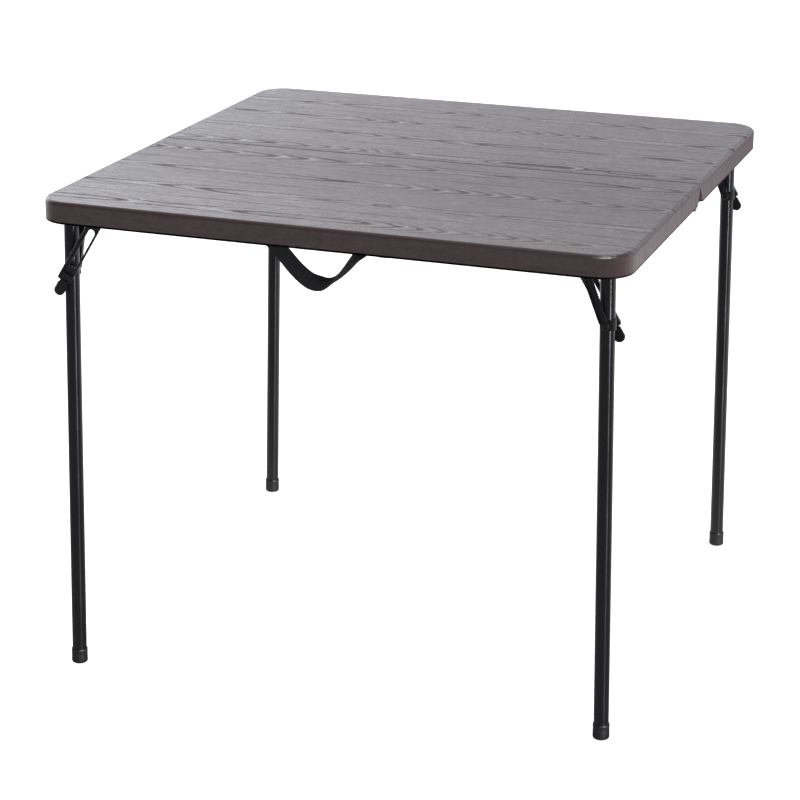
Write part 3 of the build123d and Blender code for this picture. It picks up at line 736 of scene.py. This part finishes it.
def dished_head(radius, height):
    """From the hollow of a tubular rivet's rolled head, over its rim, down to its seat."""
    hollow = radius * DISH_SHARE
    rim = radius - hollow
    bottom = 0.8 * height
    return [
        (AXIS_RADIUS, bottom),
        (0.8 * hollow, bottom),
        (hollow + 0.25 * rim, 0.0),
        (hollow + 0.7 * rim, 0.0),
        (radius, 0.45 * height),
        (radius, height),
    ]


def flush_end(radius):
    """A shank's plain end with a small chamfer."""
    return [(AXIS_RADIUS, 0.0), (radius - SHANK_CHAMFER, 0.0), (radius, SHANK_CHAMFER)]


def rivet_rings(node, shank, near, far):
    """Rings along Y through a node's box. near and far give each end's head, from its crown in."""
    low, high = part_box(node)
    start = Vector(((low[0] + high[0]) / 2, low[1], (low[2] + high[2]) / 2))
    length = high[1] - low[1]
    profile = near + [(shank, near[-1][1]), (shank, length - far[-1][1])]
    profile += [(radius, length - along) for radius, along in reversed(far)]
    return rings_about(start, Vector((0, 1, 0)), profile)


def make_rivets(leg, looks):
    """The leg's through rivet, the lever's pin and the arm's rivet, their heads as formed."""
    dish = dished_head(RIVET_HEAD, DISH_HEIGHT)
    ends = {
        "leg_rivet": (domed_head(RIVET_HEAD, CROWN_HEIGHT), dish, LOCK_SHANK),
        "lever_pin": (dish, flush_end(LOCK_SHANK), LOCK_SHANK),
        "arm_pin": (flush_end(ARM_SHANK), dished_head(ARM_RIVET_HEAD, DISH_HEIGHT), ARM_SHANK),
    }
    lock_is_near = "left" in leg
    for piece_name, (lock_end, arm_end, shank) in ends.items():
        node = leg + "_" + piece_name
        near, far = (lock_end, arm_end) if lock_is_near else (arm_end, lock_end)
        rivet = loft(node + "_turned", rivet_rings(node, shank, near, far))
        stand_for(rivet, node, looks, "dark_steel")


def leg_line(leg):
    """The point where a leg's axis meets the floor, and the direction up the leg."""
    hinge = PIVOTS[leg + "_leg_fold"]
    outward = math.copysign(FOOT_SPLAY, hinge.x)
    foot = Vector((hinge.x + outward, hinge.y, 0))
    return foot, (hinge - foot).normalized()


def make_foot_cap(leg, looks):
    """Moulded cap with a rolled rim, drawn in a little above a rounded foot."""
    node = leg + "_foot_cap"
    foot, up = leg_line(leg)
    profile = [(AXIS_RADIUS, 0.0)]
    for degrees in CAP_FOOT_ANGLES:
        angle = math.radians(degrees)
        inset = CAP_FOOT_ROUND * (1 - math.sin(angle))
        profile.append((CAP_RADIUS - inset, CAP_FOOT_ROUND * (1 - math.cos(angle))))
    profile += [
        (CAP_RADIUS - CAP_DRAW_IN, CAP_WAIST_SHARE * CAP_HEIGHT),
        (CAP_RADIUS - CAP_DRAW_IN, CAP_HEIGHT - CAP_BEAD_START),
        (CAP_RADIUS, CAP_HEIGHT - CAP_BEAD_FULL),
        (CAP_RADIUS, CAP_HEIGHT - CAP_BEAD_END),
        (CAP_RADIUS - CAP_RIM_ROUND, CAP_HEIGHT),
        (LEG_RADIUS + CAP_PLAY, CAP_HEIGHT),
        (LEG_RADIUS + CAP_PLAY, CAP_FLOOR),
        (AXIS_RADIUS, CAP_FLOOR),
    ]
    rings = rings_about(foot, up, profile)
    for ring in rings:
        for point in ring:
            point.z = max(point.z, 0.0)
    stand_for(loft(node + "_moulded", rings), node, looks, "black_plastic")


def lock_axes(leg):
    """Directions down the lock from its pivot to the lever's pin, out of the leg, and off its face."""
    pin = PIVOTS[leg + "_lever_press"]
    down = (pin - PIVOTS[leg + "_lock_swing"]).normalized()
    face = Vector((0, -1, 0)) if "left" in leg else Vector((0, 1, 0))
    outward = face.cross(down)
    if outward.x * pin.x < 0:
        outward = -outward
    return down, outward, face


def squarish_ring(centre, sideways, forward):
    """A ring of square form with softly rounded corners, from its two half widths as vectors."""
    ring = []
    for k in range(GRIP_SIDES):
        turn = 2 * math.pi * (k + 0.5) / GRIP_SIDES
        across = math.copysign(abs(math.cos(turn)) ** GRIP_CORNER_POWER, math.cos(turn))
        out = math.copysign(abs(math.sin(turn)) ** GRIP_CORNER_POWER, math.sin(turn))
        ring.append(centre + sideways * across + forward * out)
    return ring


def make_grip(leg, looks):
    """Thumb grip: a pillowed pad with a round end and low ridges across it, below a flat tongue."""
    node = leg + "_lever_grip"
    pin = PIVOTS[leg + "_lever_press"]
    down, outward, face = lock_axes(leg)
    low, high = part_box(node)
    middle = Vector((pin.x, (low[1] + high[1]) / 2, pin.z))
    tongue = [(TONGUE_START + TONGUE_NOSE * share, half) for share, half in TONGUE_NOSE_SHARES]
    rings = []
    for along, half in tongue + [(GRIP_START, 1.0)]:
        centre = middle + down * along + face * TONGUE_MIDDLE
        sideways = outward * half * TONGUE_HALF_WIDTH
        rings.append(squarish_ring(centre, sideways, face * TONGUE_HALF_THICKNESS))
    for i in range(GRIP_ROWS + 1):
        along = GRIP_START + (GRIP_END - GRIP_START) * i / GRIP_ROWS
        from_start = along - GRIP_START
        from_end = GRIP_END - along
        half = GRIP_HALF_WIDTH
        if from_end < half:
            half = math.sqrt(max(half ** 2 - (half - from_end) ** 2, GRIP_TIP ** 2))
        if from_start < GRIP_EDGE:
            half -= GRIP_EDGE - math.sqrt(max(GRIP_EDGE ** 2 - (GRIP_EDGE - from_start) ** 2, 0.0))
        thick = GRIP_HALF_THICKNESS * math.sqrt(half / GRIP_HALF_WIDTH)
        if from_start > GRIP_EDGE and from_end > GRIP_EDGE:
            thick -= RIDGE_DEPTH * max(math.cos(2 * math.pi * from_start / RIDGE_STEP), 0.0)
        rings.append(squarish_ring(middle + down * along, outward * half, face * thick))
    stand_for(loft(node + "_moulded", rings), node, looks, "black_plastic")


def arc(centre, radius, start, end, steps=10):
    """Points on an arc, its angles in degrees."""
    turns = [math.radians(start + (end - start) * k / steps) for k in range(steps + 1)]
    return [(centre[0] + radius * math.cos(t), centre[1] + radius * math.sin(t)) for t in turns]


def pin_hole(along):
    """Points round a pin's hole on the plate's middle line."""
    return arc((0, along), LOCK_SHANK + PIN_PLAY, 0, HOLE_LAST_ANGLE, HOLE_STEPS)


def pressed_plate(name, outline, holes, place, low, high):
    """A sheet with holes, drawn flat in (out, down) and given its thickness from low to high."""
    sheet = bpy.data.curves.new(name, "CURVE")
    sheet.dimensions = "2D"
    sheet.fill_mode = "BOTH"
    sheet.extrude = (high - low) / 2 - PLATE_EDGE
    sheet.bevel_depth = PLATE_EDGE
    sheet.bevel_resolution = 1
    sheet.offset = -PLATE_EDGE
    for points in [outline] + holes:
        spline = sheet.splines.new("POLY")
        spline.points.add(len(points) - 1)
        for point, (across, down) in zip(spline.points, points):
            point.co = (across, down, 0, 1)
        spline.use_cyclic_u = True
    drawn = bpy.data.objects.new(name + "_drawn", sheet)
    bpy.context.collection.objects.link(drawn)
    evaluated = drawn.evaluated_get(bpy.context.evaluated_depsgraph_get())
    mesh = bpy.data.meshes.new_from_object(evaluated)
    bpy.data.objects.remove(drawn)
    bpy.data.curves.remove(sheet)
    origin, outward, down, face = place
    for vert in mesh.vertices:
        across, along, height = vert.co
        vert.co = origin + outward * across + down * along + face * ((low + high) / 2 + height)
    return mesh


def plate_flange(name, place, outer, tail):
    """The flange on the plate's outer bar, cut off slantwise at its start and a little at its tail."""
    origin, outward, down, face = place
    seat = PLATE_OUTSIDE - PLATE_EDGE
    crown = PLATE_OUTSIDE + LIP_HEIGHT
    section = [
        (outer - LIP_SHEET, seat),
        (outer, seat),
        (outer, crown - LIP_ROUND),
        (outer - LIP_ROUND, crown),
        (outer - LIP_SHEET + LIP_ROUND, crown),
        (outer - LIP_SHEET, crown - LIP_ROUND),
    ]
    stations = (
        (SLOT_START, LIP_CUT_SHARE),
        (SLOT_START + LIP_HEIGHT, 0.0),
        (tail - 2 * TAIL_CORNER, 0.0),
        (tail - TAIL_CORNER, LIP_CUT_SHARE * LIP_TAIL_SHARE),
    )
    rings = []
    for along, cut in stations:
        drop = cut * (LIP_HEIGHT + PLATE_EDGE)
        ring = []
        for across, height in section:
            if height > seat:
                height = max(height - drop, seat)
            ring.append(origin + down * along + outward * across + face * height)
        rings.append(ring)
    return loft(name, rings)


def make_lock_plate(leg, looks):
    """Slotted lock plate with rolled edges; the flange on its outer bar runs on past the lever's pin."""
    node = leg + "_lock_plate"
    pivot = PIVOTS[leg + "_lock_swing"]
    reach = (PIVOTS[leg + "_lever_press"] - pivot).length
    down, outward, face = lock_axes(leg)
    place = (pivot, outward, down, face)
    outer = SLOT_WIDTH / 2 + OUTER_BAR
    inner = SLOT_WIDTH / 2 + INNER_BAR
    tail = reach + PLATE_TAIL
    outline = arc((0, 0), inner, 0, -180)
    outline += arc((-inner + TAIL_ROUND, tail - TAIL_ROUND), TAIL_ROUND, 180, 90)
    outline += arc((outer - TAIL_CORNER, tail - TAIL_CORNER), TAIL_CORNER, 90, 0)
    outline += [(outer, SLOT_START)]
    slot = arc((0, SLOT_START), SLOT_WIDTH / 2, 180, 360)
    slot += arc((0, reach - SLOT_TO_PIN), SLOT_WIDTH / 2, 0, 180)
    holes = [slot, pin_hole(0), pin_hole(reach)]
    plate = pressed_plate(node, outline, holes, place, PLATE_INSIDE, PLATE_OUTSIDE)
    piece = plate_flange(node + "_pressed", place, outer, tail)
    work = bmesh.new()
    work.from_mesh(plate)
    work.from_mesh(piece.data)
    bmesh.ops.remove_doubles(work, verts=work.verts, dist=WELD_DISTANCE)
    work.to_mesh(piece.data)
    work.free()
    bpy.data.meshes.remove(plate)
    piece.data.set_sharp_from_angle(angle=SHARP_ANGLE)
    stand_for(piece, node, looks, "lock_paint")


def smooth_between(values, place):
    """Catmull-Rom value at a place counted in steps of the list."""
    last = len(values) - 1
    i = min(int(place), last - 1)
    t = place - i
    before, start, end, after = (values[min(max(k, 0), last)] for k in (i - 1, i, i + 1, i + 2))
    slope_in = (end - before) / 2
    slope_out = (after - start) / 2
    a = 2 * start - 2 * end + slope_in + slope_out
    b = -3 * start + 3 * end - 2 * slope_in - slope_out
    return ((a * t + b) * t + slope_in) * t + start


def strap_line():
    """Stations of centre, across and outward, all along the hanging stretch."""
    count = (len(ALONG_SHARES) - 1) * STRAP_STEPS
    points = []
    turns = []
    for i in range(count + 1):
        place = i / STRAP_STEPS
        share = smooth_between(ALONG_SHARES, place)
        x = STRAP_LEFT + (STRAP_RIGHT - STRAP_LEFT) * share
        y = STRAP_Y + STRAP_BOW * math.sin(math.pi * share)
        points.append(Vector((x, y, RIM_Z - STRAP_SAG * smooth_between(DROP_SHARES, place))))
        turns.append(math.radians(smooth_between(FACE_TURNS, place)))
    stations = []
    for i, point in enumerate(points):
        ahead = (points[min(i + 1, count)] - points[max(i - 1, 0)]).normalized()
        level = Vector((0, 1, 0)).cross(ahead).normalized()
        across = level * math.cos(turns[i]) + level.cross(ahead) * math.sin(turns[i])
        stations.append((point, across, across.cross(ahead)))
    return stations


def ribbon(name, stations, material):
    """Webbing of rounded rectangular section through stations, riding on the front half."""
    half = STRAP_WIDTH / 2
    edge = STRAP_THICKNESS / 2
    columns = [STRAP_WIDTH * k / STRAP_COLUMNS for k in range(1, STRAP_COLUMNS)]
    shape = [(-half, 0.0), (-half + edge, edge)]
    shape += [(-half + column, edge) for column in columns]
    shape += [(half - edge, edge), (half, 0.0), (half - edge, -edge)]
    shape += [(half - column, -edge) for column in columns]
    shape += [(-half + edge, -edge)]
    rings = []
    flat = []
    travelled = 0.0
    before = stations[0][0]
    for centre, across, outward in stations:
        travelled += (centre - before).length
        before = centre
        rings.append([centre + across * u + outward * v for u, v in shape])
        flat += [(u, travelled) for u, v in shape]
    piece = loft(name, rings, flat)
    piece.data.materials.append(material)
    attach(piece, "front_top")
    return piece


def make_strap(material):
    """Hanging webbing that runs on behind the rim, and the tails clamped under the plates."""
    line = strap_line()
    start = line[0]
    end = line[-1]
    before = (start[0] - line[1][0]).normalized() * STRAP_HIDDEN
    after = (end[0] - line[-2][0]).normalized() * STRAP_HIDDEN
    stations = [(start[0] + before, *start[1:])] + line + [(end[0] + after, *end[1:])]
    strap = ribbon("carry_strap_webbing", stations, material)
    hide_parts("carry_strap")
    across = Vector((1, 0, 0))
    outward = Vector((0, -1, 0))
    for side, station in (("left", start), ("right", end)):
        base = Vector((station[0].x, STRAP_Y, RIM_Z - TAIL_DROP))
        top = base + Vector((0, 0, STRAP_TAIL))
        upright = [(base, across, outward), (top, across, outward)]
        tail = ribbon("carry_strap_" + side + "_tail", upright, material)


def make_stage():
    """A white floor. Gloss on the table mirrors it bright behind the table and dim in front."""
    mesh = bpy.data.meshes.new("floor")
    sides = ((-1, -1), (1, -1), (1, 1), (-1, 1))
    mesh.from_pydata([(x * FLOOR_REACH, y * FLOOR_REACH, 0) for x, y in sides], [], [(0, 1, 2, 3)])
    floor = bpy.data.objects.new("floor", mesh)
    bpy.context.collection.objects.link(floor)
    graph = Graph(bpy.data.materials.new("floor_look"))
    y = graph.split()[1]
    graph.shade(
        Base_Color=graph.blend(graph.noise(3.0), FLOOR_DARK, FLOOR_LIGHT),
        Roughness=0.9,
        Emission_Color=WHITE,
        Emission_Strength=graph.spread(graph.add("LightPath", "Is Camera Ray"), 0.0, 1.0, 0.35, 0.75),
    )
    rise = graph.spread(y, *GLOW_RISE, 0.20, 1.12, smooth=True)
    fall = graph.spread(y, *GLOW_FALL, 1.15, 0.30)
    mirrored = graph.add("Emission", Color=FLOOR_MIRRORED, Strength=graph.times(rise, fall))
    glossy = graph.add("LightPath", "Is Glossy Ray")
    mixed = graph.tree.nodes.new("ShaderNodeMixShader")
    for socket, value in zip(mixed.inputs, (glossy, graph.shader.outputs[0], mirrored)):
        graph.feed(socket, value)
    graph.feed(graph.tree.nodes["Material Output"].inputs["Surface"], mixed.outputs[0])
    mesh.materials.append(graph.owner)
    floor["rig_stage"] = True


def make_world():
    """Pale studio walls: dim in front, lighter low behind the table, and brightest behind its left."""
    graph = Graph(bpy.data.worlds.new("studio"), "Generated")
    x, y, z = graph.split()
    behind = graph.spread(y, 0.0, 0.7, smooth=True)
    low = graph.spread(z, 0.20, 0.70, 1.0, 0.35, smooth=True)
    left = graph.spread(graph.times(x, -1.0), 0.25, 0.65, 0.0, 3.3, smooth=True)
    walls = graph.times(behind, low, graph.plus(left, 1.19))
    ceiling = graph.spread(z, 0.3, 1.0, 0.12, 0.45)
    seen = graph.add("LightPath", "Is Camera Ray")
    backdrop = graph.tree.nodes["Background"]
    graph.feed(backdrop.inputs["Color"], graph.blend(seen, WALL_TINT, WHITE))
    graph.feed(backdrop.inputs["Strength"], graph.spread(seen, 0.0, 1.0, graph.plus(walls, ceiling), 1.0))
    bpy.context.scene.world = graph.owner


def make_light(name, place, target, size, power, colour, seen_by, pieces):
    """An area light for matt or for glossy surfaces, of named pieces or of all. No camera ray sees it."""
    light = bpy.data.lights.new(name, "AREA")
    light.shape = "RECTANGLE"
    light.size, light.size_y = size
    light.energy = power
    light.color = colour
    lamp = bpy.data.objects.new(name, light)
    lamp.location = place
    lamp.rotation_euler = (Vector(target) - Vector(place)).to_track_quat("-Z", "Y").to_euler()
    lamp.visible_camera = False
    lamp.visible_glossy = seen_by == "gloss"
    lamp.visible_diffuse = seen_by == "matt"
    bpy.context.collection.objects.link(lamp)
    if pieces:
        receivers = bpy.data.collections.new(name + "_receivers")
        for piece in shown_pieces():
            if any(word in piece.name for word in pieces):
                receivers.objects.link(piece)
        lamp.light_linking.receiver_collection = receivers


def make_camera():
    """The camera that took the photograph."""
    yaw, pitch, roll = CAMERA_YAW, CAMERA_PITCH, CAMERA_ROLL
    ahead = Vector((-math.sin(yaw) * math.cos(pitch), math.cos(yaw) * math.cos(pitch), -math.sin(pitch)))
    right = Vector((math.cos(yaw), math.sin(yaw), 0))
    up = right.cross(ahead)
    turned_right = right * math.cos(roll) + up * math.sin(roll)
    turned_up = up * math.cos(roll) - right * math.sin(roll)
    lens = bpy.data.cameras.new("photo_camera")
    lens.sensor_width = SENSOR_WIDTH
    lens.lens = FOCAL_PIXELS * SENSOR_WIDTH / IMAGE_SIDE
    lens.shift_x = (IMAGE_SIDE / 2 - CENTRE_X_PIXEL) / IMAGE_SIDE
    lens.shift_y = (CENTRE_Y_PIXEL - IMAGE_SIDE / 2) / IMAGE_SIDE
    lens.clip_end = SIGHT_REACH
    camera = bpy.data.objects.new("photo_camera", lens)
    axes = Matrix((turned_right, turned_up, -ahead)).transposed()
    camera.matrix_world = Matrix.Translation(CAMERA_PLACE) @ axes.to_4x4()
    bpy.context.collection.objects.link(camera)
    bpy.context.scene.camera = camera


looks = dress_frame()
make_strap(looks["webbing"])
for leg in LEGS:
    make_rivets(leg, looks)
    make_foot_cap(leg, looks)
    make_grip(leg, looks)
    make_lock_plate(leg, looks)
make_stage()
make_world()
for light in LIGHTS:
    make_light(**light)
make_camera()
bpy.context.scene.view_settings.view_transform = "Standard"
